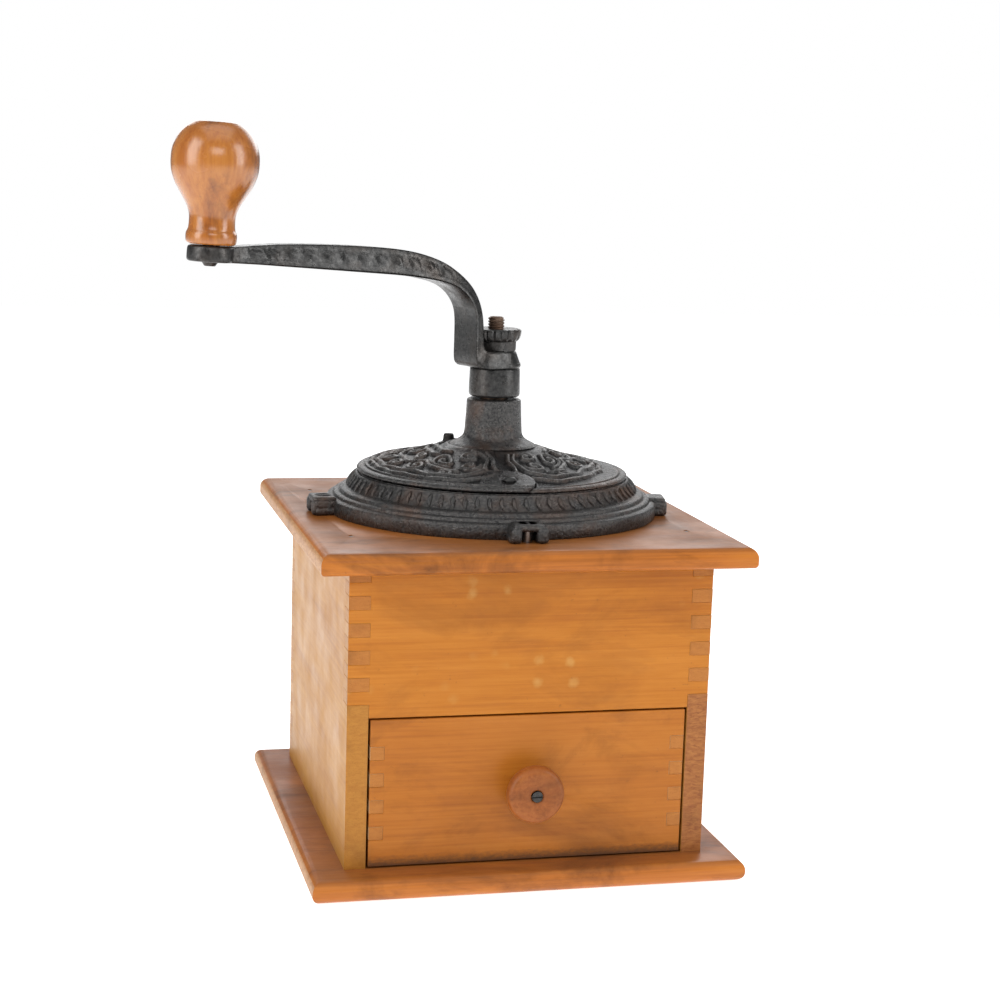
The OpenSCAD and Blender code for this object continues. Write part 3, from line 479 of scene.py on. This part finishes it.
front_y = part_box("drawer_front")[0].y / MM
pull_z = (level("drawer_knob") + level("drawer_knob", False)) / 2
pull_frame = Matrix.Translation((0, front_y, pull_z)) @ Matrix.Rotation(math.pi / 2, 4, "X")
bm = bmesh.new()
mushroom = curved([(6.9, 0.3), (6.2, 3), (6.1, 5), (7.2, 6.8), (10, 7.7), (11.7, 8.9), (12.25, 10.9), (12, 13),
                   (11.1, 14.3), (10, 14.8), (7.6, 14.98), (5, 14.9), (2.9, 14.8)], 4)
spun(bm, [(1.7, 0.02), (7, 0.02)] + mushroom + [(2.5, 14.4), (2.4, 13.85), (1.7, 13.8), (1.7, 0.02)], 64,
     start=pull_frame)
new_piece(bm, "drawer_pull", pull_wood, "drawer", "pull_wood", ["drawer_knob"], smooth=50)
eased("drawer_knob_screw", "drawer_pull_screw", dark_iron, "dark_iron", 0.2)
print("pull at height", round(pull_z, 1), "mm")

# %% [markdown]
# ## The hopper ring
# The foot, the stepped mouldings and the reeded band were one turned pattern, pressed into the sand. The
# profile is spun in one go. The reeds are one small leaf, leaned on the band and repeated round the ring.
# %% Hopper ring
deck = level("top_board")
RIM_R, RIM_H = 60.6, 16.4
REEDS = 76
bm = bmesh.new()
outside = curved([(74, 4.9), (73.6, 6.1), (72.4, 6.7), (71.4, 6.9)], 4) + \
    curved([(71.3, 7.1), (70.9, 8.0), (69.8, 8.5), (68.7, 8.4)], 4) + \
    curved([(68.5, 8.6), (68.1, 9.7), (67, 10.3), (65.6, 10.6)], 4) + \
    curved([(65.2, 10.9), (64, 12.2), (62.6, 14.2), (61.3, 16.2)], 4) + \
    curved([(61.2, 16.3), (61.1, 16.7), (60.3, 16.8), (59.6, 16.4), (59.2, 17.0)], 4)
ring = [(60.9, 0), (73.6, 0), (74, 0.4)] + outside + \
    [(57.3, 17.2), (57, 17.0), (57, 2.9), (60.9, 2.9), (60.9, 0)]
spun(bm, [(r, deck + z) for r, z in ring], 240)
for v in bm.verts:  # the edge of the foot isn't quite round
    if v.co.z < deck + 5.2 and v.co.xy.length > 73:
        v.co.xy *= 1 + 0.0012 * math.sin(9 * math.atan2(v.co.y, v.co.x) + 2 * math.sin(v.co.z))

leaf = bmesh.new()
bmesh.ops.create_uvsphere(leaf, u_segments=8, v_segments=8, radius=1)
for v in leaf.verts:
    tip = max(0.0, -v.co.z)
    v.co = Vector((v.co.x * 1.05, v.co.y * (1.1 - 0.35 * tip) + 1.1 * tip * tip, v.co.z * 3.15))
lean = Matrix.Rotation(math.atan2(-3.7, 5.1), 4, "Y")
bmesh.ops.transform(leaf, matrix=Matrix.Translation((63.35, 0, deck + 13.4)) @ lean, verts=leaf.verts)
bmesh.ops.spin(leaf, geom=leaf.verts[:] + leaf.edges[:] + leaf.faces[:], cent=(0, 0, 0), axis=(0, 0, 1),
               dvec=(0, 0, 0), angle=math.tau * (REEDS - 1) / REEDS, steps=REEDS - 1, use_duplicate=True)
spare = bpy.data.meshes.new("leaves")
leaf.to_mesh(spare)
leaf.free()
bm.from_mesh(spare)
bpy.data.meshes.remove(spare)
print("ring:", len(bm.faces), "faces with", REEDS, "reeds")

# %% [markdown]
# ## Lugs
# Four lugs carry the screws that hold the hopper on the top board. Each is a plate on two short legs with
# an open middle, cast that way to save iron and to let the sand come out.
# %% Lugs on the ring


def block(bm, low, high, ease, turn):
    """A block between two corners, with its edges rounded, turned about the upright axis."""
    made = bmesh.ops.create_cube(bm, size=1)["verts"]
    size = [h - l for l, h in zip(low, high)]
    bmesh.ops.scale(bm, vec=size, verts=made)
    bmesh.ops.translate(bm, vec=[(l + h) / 2 for l, h in zip(low, high)], verts=made)
    bmesh.ops.rotate(bm, cent=(0, 0, 0), matrix=Matrix.Rotation(turn, 3, "Z"), verts=made)
    edges = list({e for v in made for e in v.link_edges})
    bmesh.ops.bevel(bm, geom=edges, offset=ease, offset_type="OFFSET", segments=2, profile=0.5,
                    affect="EDGES", material=-1)


LUG_H = 8.0
for bearing, reach in ((-11, 79), (90, 83), (182, 83), (268, 83)):
    a = math.radians(bearing)
    block(bm, (min(72, reach - 9), -6.8, deck + LUG_H - 3), (reach - 0.6, 6.8, deck + LUG_H), 1.1, a)
    for side in (-1, 1):
        block(bm, (69, side * 5.6 - 2.4, deck + 0.02),
              (reach - 0.02, side * 5.6 + 2.4, deck + LUG_H - 1.2), 1.5, a)
        block(bm, (69, side * 6.6 - 1.8, deck + 0.02), (reach - 1.2, side * 6.6 + 1.8, deck + 3.6), 1.2, a)

# %% [markdown]
# ## The neck
# The neck carries the spindle. It stands on a flared foot that joins the fixed half of the dome; the lid
# runs up to it with a thin gap. Here rise is the height of the dome and edge that of the fixed half's rim.
# %% Neck
edge, rise = 2.3, 10.0
foot = RIM_H + rise + edge + 0.9
neck_top = level("hopper_casting")
neck = [(6.1, deck + foot - 8), (11, deck + foot - 8), (11, deck + foot), (19.1, deck + foot)] + \
    curved([(19.5, deck + foot + 0.3), (18.4, deck + foot + 1.1), (16.2, deck + foot + 2.2),
            (14.2, deck + foot + 3.6), (13.2, deck + foot + 5.2), (12.85, deck + foot + 7.5),
            (12.5, neck_top - 8), (12.15, neck_top - 1.4), (11.7, neck_top - 0.4), (10.9, neck_top)], 4) + \
    [(6.4, neck_top), (6.1, neck_top - 0.3), (6.1, deck + foot - 8)]
spun(bm, neck, 96)
new_piece(bm, "hopper_body", cast_iron, "mill", "cast_iron", ["hopper_casting"], smooth=48)
eased("hopper_screws", "hopper_lug_screws", steel, "steel", 0.15)
print("neck top at", round(neck_top, 1), "mm")

# %% [markdown]
# ## The dome and its ornament
# The dome is in two halves, one fixed and one that swings. Each carries a scroll: seven curls, and long
# strands that run to the middle, where the same scroll comes from the other end. A wooden pattern was
# carved with it. Here the strands are curves in plan, and the iron rises near them, so that they grow out
# of the ground as cast relief does.
# %% Scroll of one half
CURL_EYE = 0.16
STRAND_R, STRAND_H, GROUND = 1.2, 1.5, 0.45


def curl(centre, wide, tall, turns, begin):
    t = np.linspace(0, 1, 60)
    a = begin + turns * math.tau * t
    s = CURL_EYE + (1 - CURL_EYE) * t
    return np.stack([centre[0] + wide * s * np.cos(a), centre[1] + tall * s * np.sin(a)], 1)


def strand(*points):
    return np.array(curved(points, 14))


SCROLL = np.vstack([
    curl((-15.6, -24.2), 4.4, 4.4, -1.25, 2.2), curl((-17.3, -33.2), 4.8, 4.3, 1.3, 4.4),
    curl((-26.6, -22), 5.2, 8.6, 1.6, 0.9), curl((-38.6, -19.5), 4.2, 5.2, -1.3, 4.2),
    curl((-45.2, -8), 3.6, 4.6, 1.25, 1.2), curl((-30.2, -37.2), 3.6, 3.2, 1.2, 0.4),
    curl((-33.5, -6.6), 3.4, 4.2, -1.2, 2.0),
    strand((-13.5, -18.8), (-10.3, -21.8), (-9.6, -27), (-10.6, -33.5), (-13.8, -39), (-20, -42), (-26, -41.6),
           (-35, -36), (-39.5, -29.5), (-41.5, -26), (-46.6, -19.6), (-50.4, -9), (-50.8, 0)),
    strand((-7.4, -22), (-7.4, -33), (-9, -41.5), (-15, -46.9), (-25, -47.3), (-36, -41), (-46, -29.5),
           (-52.3, -15), (-54.3, 0)),
    strand((-24, -36.5), (-30.5, -31), (-33.2, -25), (-34, -17), (-38.4, -12.4), (-41, -5), (-40.4, 0)),
    strand((-27.2, -11), (-29.6, -5.5), (-29.4, 0)), strand((-21.8, -12.4), (-24.8, -6), (-25.6, 0)),
])


def relief(x, y):
    """Height of the ornament in plan, in millimetres, for the lid; the fixed half is its mirror image."""
    y = -np.abs(y)
    x, y = x + 0.5 * np.sin(0.5 * y), y + 0.5 * np.sin(0.45 * x)
    near = np.full(len(x), 9.0)
    for px, py in SCROLL:
        near = np.minimum(near, np.hypot(x - px, y - py))
    return STRAND_H * np.clip(1 - (near / STRAND_R) ** 2, 0, 1) ** 0.6 - GROUND


print("scroll of", len(SCROLL), "points")

# %% [markdown]
# ### Two halves from one grid
# A flat grid is bent into each half: one way it runs round the axis, the other way it follows the
# section, over the top and down round the rim. A modifier gives this sheet its wall. The straight edge
# and the round ear at the rivet are where the grid begins and ends.
# %% Lid and fixed half
EAR_X, EAR_Y, EDGE_X, GAP = -4.6, -51.2, 4.6, 0.6
COLUMNS, WALL = 330, 1.6
SHIFT = 6.5
ear_at = math.hypot(EAR_X, EAR_Y)
half_swing = math.radians(36.2)
rim_reach = math.sqrt((RIM_R + 0.6) ** 2 - (ear_at * math.sin(half_swing)) ** 2)
EAR_R = rim_reach - ear_at * math.cos(half_swing) - GAP


def dome(r):
    t = (RIM_R - r) / (RIM_R - 21)
    return rise * (0.72 * t + 0.28 * t ** 3)


def front_end(r, gap):
    """Bearing where the lid ends at its front, at each radius: the straight edge or the ear."""
    straight = 1.5 * math.pi - np.arcsin((EDGE_X - gap) / r)
    c = (r * r + ear_at ** 2 - (EAR_R + gap) ** 2) / (2 * r * ear_at)
    ear = math.atan2(EAR_Y, EAR_X) + math.tau + np.arccos(np.clip(c, -1, 1))
    return np.where(np.abs(c) < 1, np.maximum(straight, ear), straight)


def half_dome(section, top_rows, gap, is_lid):
    """Bends a grid round the axis; the first top_rows of the section carry the ornament."""
    bm = bmesh.new()
    rows = len(section) - 1
    bmesh.ops.create_grid(bm, x_segments=COLUMNS, y_segments=rows, size=1)
    co = np.array([v.co[:] for v in bm.verts])
    u, row = (co[:, 0] + 1) / 2, np.rint((co[:, 1] + 1) / 2 * rows).astype(int)
    line = np.array(section)
    r, z = line[row, 0], line[row, 1]
    front, back = front_end(r, gap), 0.5 * math.pi + np.arcsin((EDGE_X - gap) / r)
    a = back + (front - back) * u if is_lid else front - math.tau + (back - front + math.tau) * u
    x, y = r * np.cos(a), r * np.sin(a)
    top = row < top_rows
    plan_x = x if is_lid else -x - SHIFT
    lift = np.where(top & (r > 21.5), relief(plan_x, y), 0)
    fade = np.clip((56.6 - r) / 1.2, 0, 1) * np.clip((r - 21.5) / 1.5, 0, 1)
    ear = np.hypot(x - EAR_X, y - EAR_Y)
    z = z + lift * fade * (ear > EAR_R + 1.4)
    if is_lid:
        seat = deck + RIM_H + dome(math.hypot(EAR_Y, 0)) + edge + 1.2
        z = np.where(top & (ear < 5.2), np.minimum(z, seat - 0.02 + np.clip(ear - 4, 0, 9) * 0.8), z)
    # raised keeps the relief height, which the finish turns into painted shade and painted highlight.
    raised = bm.verts.layers.float.new("raised")
    height = np.where(top & (r < 56), (lift + GROUND) / STRAND_H, 0.6)
    for v, p, up in zip(bm.verts, np.stack([x, y, z], 1), height):
        v.co = p
        v[raised] = up
    return bm


rim_z = deck + RIM_H
over = [(r, rim_z + max(0, dome(r)) + (edge + 1.2) * min(1, (RIM_R + 0.6 - r) / 3))
        for r in np.linspace(20.2, 57, 66)]
roll = curved([(57.3, over[-1][1] - 0.8), (58.0, rim_z + 3.5), (59.2, rim_z + 3.5), (60.3, rim_z + 2.9),
               (60.7, rim_z + 2.1), (60.3, rim_z + 1.5), (59.2, rim_z + 1.2)], 3)
bm = half_dome(over + roll, len(over), 0.0, True)
at = Matrix.Rotation(math.radians(130), 4, "Z") @ Matrix.Translation((25, 0, rim_z + dome(25) + edge + 1.2))
button = curved([(3.4, 0), (2.75, 0.5), (2.5, 2.2), (2.35, 3.1), (1.9, 3.75), (0.9, 3.9)], 3)
spun(bm, [(0, -1), (3.6, -0.9)] + button + [(0, 3.9)], 24, start=at)
new_piece(bm, "lid_half", relief_shaded_iron, "lid", "cast_iron", ["hopper_lid"], smooth=55, sheet=WALL)
eased("lid_rivet", "lid_rivet_worn", dark_iron, "dark_iron", 0.2)

over = [(r, rim_z + dome(r) + edge * min(1, (RIM_R + 0.6 - r) / 3)) for r in np.linspace(18.4, 56.8, 66)]
beads = curved([(57.3, over[-1][1] - 0.8), (58.0, rim_z + 2.7), (59.2, rim_z + 2.8), (60.3, rim_z + 2.2),
                (60.6, rim_z + 1.6), (60.2, rim_z + 1.1), (59.2, rim_z + 0.8)], 3)
bm = half_dome(over + beads, len(over), GAP, False)
new_piece(bm, "fixed_half", relief_shaded_iron, "mill", "cast_iron", ["hopper_casting"], smooth=55, sheet=WALL)
print("ear radius", round(EAR_R, 2), "mm; lid up to", round(level("hopper_lid") - deck, 1), "mm above the deck")

# %% [markdown]
# ## Grinding set
# The case hangs from a flange on the top board, and the outer burr sits in it. The inner burr is pinned to
# the spindle, and a thrust screw under the bridge lifts the spindle to set the grind. These are plain
# castings and turned steel, with their edges eased.
# %% Grinding set
for node, finish, name, width in (
        ("grinding_case", cast_iron, "cast_iron", 0.3), ("outer_burr", steel, "steel", 0.12),
        ("inner_burr", steel, "steel", 0.12), ("bridge_bar", cast_iron, "cast_iron", 0.4),
        ("case_screws", steel, "steel", 0.1), ("bridge_screws", steel, "steel", 0.2),
        ("burr_set_screws", steel, "steel", 0.1), ("burr_pin", steel, "steel", 0.1),
        ("thrust_disc", steel, "steel", 0.2), ("thrust_screw", steel, "steel", 0.2),
        ("thrust_lock_nut", steel, "steel", 0.3)):
    eased(node, node + "_worn", finish, name, width)
print("grinding set: 11 pieces under the deck at", round(deck, 1), "mm")

# %% [markdown]
# ## Spindle, collar and nut
# The spindle ends in a thread, rusty brown where the nut doesn't rub it clean. The thread is one small
# ridge, spun with a rise of 1.3 mm a turn. The collar fills the height between the neck and the crank.
# %% Spindle, collar and thumb nut
pad_foot, pad_top = level("spindle_collar"), level("thumb_nut", False)
collar_foot, stud_top = level("spindle_collar", False), level("spindle")
bm = bmesh.new()
tip = level("spindle", False)
spun(bm, [(0, tip), (5.4, tip), (6, tip + 0.6), (6, collar_foot), (5.6, collar_foot), (5.6, pad_foot),
          (3.9, pad_foot + 0.2), (3.9, pad_top - 0.8), (3.2, pad_top), (3.2, stud_top - 0.4),
          (2.6, stud_top), (0, stud_top - 0.15)], 48)
PITCH = 1.3
low = pad_top + 5
ridge = [bm.verts.new((r, 0, low + z)) for r, z in ((3.1, 0), (3.72, 0.5), (3.72, 0.72), (3.1, 1.24))]
lines = [bm.edges.new(p) for p in zip(ridge, ridge[1:])]
turns = int((stud_top - 0.5 - PITCH - low) / PITCH) + 0.6
STEPS_A_TURN = 28
steps = int(STEPS_A_TURN * turns)
bmesh.ops.spin(bm, geom=ridge + lines, cent=(0, 0, 0), axis=(0, 0, 1), dvec=(0, 0, PITCH * turns / steps),
               angle=math.tau * turns, steps=steps)
new_piece(bm, "spindle_threaded", rusty_steel, "crankset", "rusty_steel", ["spindle"], smooth=45)

bm = bmesh.new()
barrel = curved([(10.9, collar_foot + 0.25), (11.35, collar_foot + 1), (11.4, collar_foot + 3),
                 (11.3, collar_foot + 8), (11.15, pad_foot - 1), (10.9, pad_foot - 0.3)], 4)
spun(bm, [(5.62, collar_foot), (10.3, collar_foot)] + barrel +
     [(10.6, pad_foot), (5.62, pad_foot), (5.62, collar_foot)], 72)
new_piece(bm, "collar_worn", dark_iron, "crankset", "dark_iron", ["spindle_collar"])

bm = bmesh.new()
nut = [(3.76, 0), (8.6, 0)] + curved([(9.2, 0.3), (9.3, 1.4), (9.35, 3.0), (9.4, 4.1)], 3) + \
    curved([(9.9, 4.5), (10.6, 5.4), (11.1, 6.8), (11.3, 8.4), (11.15, 9.2), (10.4, 9.65)], 4) + \
    [(8, 9.7), (4.4, 9.6), (3.76, 9.1), (3.76, 0)]
spun(bm, [(r, pad_top + z) for r, z in nut], 160)
SCALLOPS = 20
for v in bm.verts:
    r, a, z = v.co.xy.length, math.atan2(v.co.y, v.co.x), v.co.z - pad_top
    if r > 8 and z < 4.3:
        flat = (a + math.pi / 6) % (math.pi / 3) - math.pi / 6
        v.co.xy *= min(1.0, 8.3 / math.cos(flat) / r)
    elif r > 9.8:
        v.co.xy *= 1 - 0.06 * max(0, math.cos(SCALLOPS * a)) ** 2 * min(1, (z - 4.3) / 1.5)
new_piece(bm, "thumb_nut_worn", dark_iron, "crankset", "dark_iron", ["thumb_nut"], smooth=32)
print("thread of", round(turns, 1), "turns; nut top at", round(level("thumb_nut"), 1), "mm")

# %% [markdown]
# ## The crank arm
# The arm is one casting: a round pad, a riser beside the nut, a bend, and an arm that tapers to the
# knob. Its outer face is broad and plain. Its sides slope, and along the arm they carry a running leaf
# between two smooth strips. The grid is bent along stations that pair a point on the inner line with one
# on the outer line.
# %% Crank arm
CRANK_AZ, CRANK_R = math.radians(201), 141.0
LEAF_FROM, LEAF_TO, LEAF_STEP = 26, 132, 8.5
inner = [(0, 7.6), (8, 7.6), (10.6, 8.2), (11.75, 10.6), (11.85, 15.5), (12.35, 22.3), (13.5, 27.6),
         (15.6, 32.6), (19, 37.4), (24.5, 42.2), (32.5, 46.9), (43.5, 50.5), (56, 52.6), (72, 53.7),
         (90, 54.35), (109, 54.5), (122, 54), (135, 53.3)]
outer = [(0, 0.05), (10.5, 0.05), (14.6, 1.3), (16.3, 4.2), (16.5, 12), (16.65, 21.3), (17.7, 26.7),
         (20.5, 31.3), (24.3, 34.7), (29.2, 37.2), (36.5, 39.1), (46.5, 40.7), (57.5, 41.8), (73, 42.9),
         (90, 44.1), (109, 45.4), (122, 46.3), (135, 47)]
width = [11.4, 11.2, 10, 9.2, 9, 9, 9, 9, 9, 8.9, 8.7, 8.4, 8.1, 7.6, 7.2, 6.8, 6.5, 6.2]
slope = [2.2, 2.2, 1.6, 1.2, 1.2, 1.3, 1.5, 1.8, 2.2, 2.6, 2.8, 2.9, 2.9, 2.8, 2.7, 2.6, 2.2, 1.4]
path = np.array(curved([(*i, *o, w, s) for i, o, w, s in zip(inner, outer, width, slope)], 12))
# Half of a section: share of the half width (or of the slope), and depth from the inner face
half = [(0, 0, 0), (1, 1, 0), (1, 0.85, 0.05), (1, 0.7, 0.14), (1, 0.62, 0.22), (1, 0.54, 0.3),
        (1, 0.46, 0.38), (1, 0.38, 0.46), (1, 0.3, 0.54), (1, 0.22, 0.62), (1, 0.1, 0.7), (1, 0, 0.84),
        (1, 0.0, 0.93), (1, 0.25, 1.0), (0, 0, 1.0)]
section = [(1, *h) for h in half] + [(-1, *h) for h in half[::-1][1:]]
bm = bmesh.new()
cols, rows = len(path) - 1, len(section) - 1
bmesh.ops.create_grid(bm, x_segments=cols, y_segments=rows, size=1)
leafy = random.Random(7)
wobble = [leafy.uniform(-0.25, 0.25) for _ in range(len(path))]
for v in bm.verts:
    k, j = round((v.co.x + 1) / 2 * cols), round((v.co.y + 1) / 2 * rows)
    side, wide, cut, deep = section[j]
    si, zi, so, zo, w, s = path[k]
    across = side * (wide * w - cut * s if wide else 0)
    along_arm, up = si + (so - si) * deep, zi + (zo - zi) * deep
    if 0.14 <= deep <= 0.7 and wide and si > LEAF_FROM:
        beat = (si / LEAF_STEP) % 1
        leaf_h = math.sin(math.pi * (beat + 0.8 * (deep - 0.4))) * math.sin(math.pi * (deep - 0.12) / 0.6)
        fine = math.sin(si * 1.9 + deep * 11) * 0.5 + wobble[k]
        carve = side * (0.55 - 0.75 * leaf_h * leaf_h - 0.3 * fine)
        across -= carve * min(1, (si - LEAF_FROM) / 6) * min(1, max(0, (LEAF_TO - si) / 6))
    v.co = (along_arm, across, up)
bmesh.ops.remove_doubles(bm, verts=bm.verts, dist=0.002)
bmesh.ops.edgeloop_fill(bm, edges=[e for e in bm.edges if e.is_boundary])
pad = curved([(11.1, 0.15), (11.4, 0.7), (11.35, 1.8), (10.9, 2.6), (9.9, 5.2), (9.2, 7.0), (8.5, 7.58)], 3)
spun(bm, [(3.9, 0), (10.6, 0)] + pad + [(3.9, 7.6), (3.9, 0)], 72)
bmesh.ops.rotate(bm, cent=(0, 0, 0), matrix=Matrix.Rotation(CRANK_AZ, 3, "Z"), verts=bm.verts)
bmesh.ops.translate(bm, vec=(0, 0, pad_foot), verts=bm.verts)
knob_frame = Matrix.Rotation(CRANK_AZ, 4, "Z") @ Matrix.Translation((CRANK_R, 0, pad_foot + 53.8)) @ \
    Matrix.Rotation(math.radians(-3), 4, "Y")
boss = curved([(8.4, -6.6), (9.3, -6.1), (9.5, -4.6), (9.4, -1.4), (8.9, -0.35), (7.8, -0.02)], 3)
spun(bm, [(3, -6.6)] + boss + [(3, 0), (3, -6.6)], 48, start=knob_frame)
new_piece(bm, "crank_cast", dark_iron, "crankset", "dark_iron", ["crank_arm"], smooth=38)
print("arm of", len(path), "stations")

# %% [markdown]
# ## The crank knob
# The knob was turned from close-grained wood: a foot with a bead, a waist and a ball with a worn, nearly
# flat top. Hands have rubbed its amber varnish to a gloss. A rivet with a washer holds it.
# %% Crank knob
FLOAT = 0.3  # clearance between the knob's foot and the arm
turned = curved([(9.0, 0.05), (10.0, 0.8), (10.3, 2.6), (10.2, 4.5), (9.5, 6.2), (9.25, 8.8), (9.4, 12),
                 (10.5, 15.3), (12.8, 19.3), (15.5, 23.8), (17.25, 28.6), (17.72, 33.4), (17.2, 38.2),
                 (15.2, 42.9), (12.6, 46.2), (9.6, 48.4), (8.4, 48.75)], 5)
bm = bmesh.new()
spun(bm, [(3.1, 0.05)] + turned + [(7.1, 48.8), (6.6, 48.3), (6.5, 46.1), (3.1, 46), (3.1, 0.05)], 96,
     start=knob_frame @ Matrix.Translation((0, 0, FLOAT)))
new_piece(bm, "knob_turned", knob_wood, "knob", "knob_wood", ["crank_knob"], smooth=50)
eased("knob_rivet", "knob_rivet_worn", dark_iron, "dark_iron", 0.3)
eased("knob_washer", "knob_washer_worn", dark_iron, "dark_iron", 0.15)
print("knob", round(2 * max(r for r, z in turned), 1), "mm across")
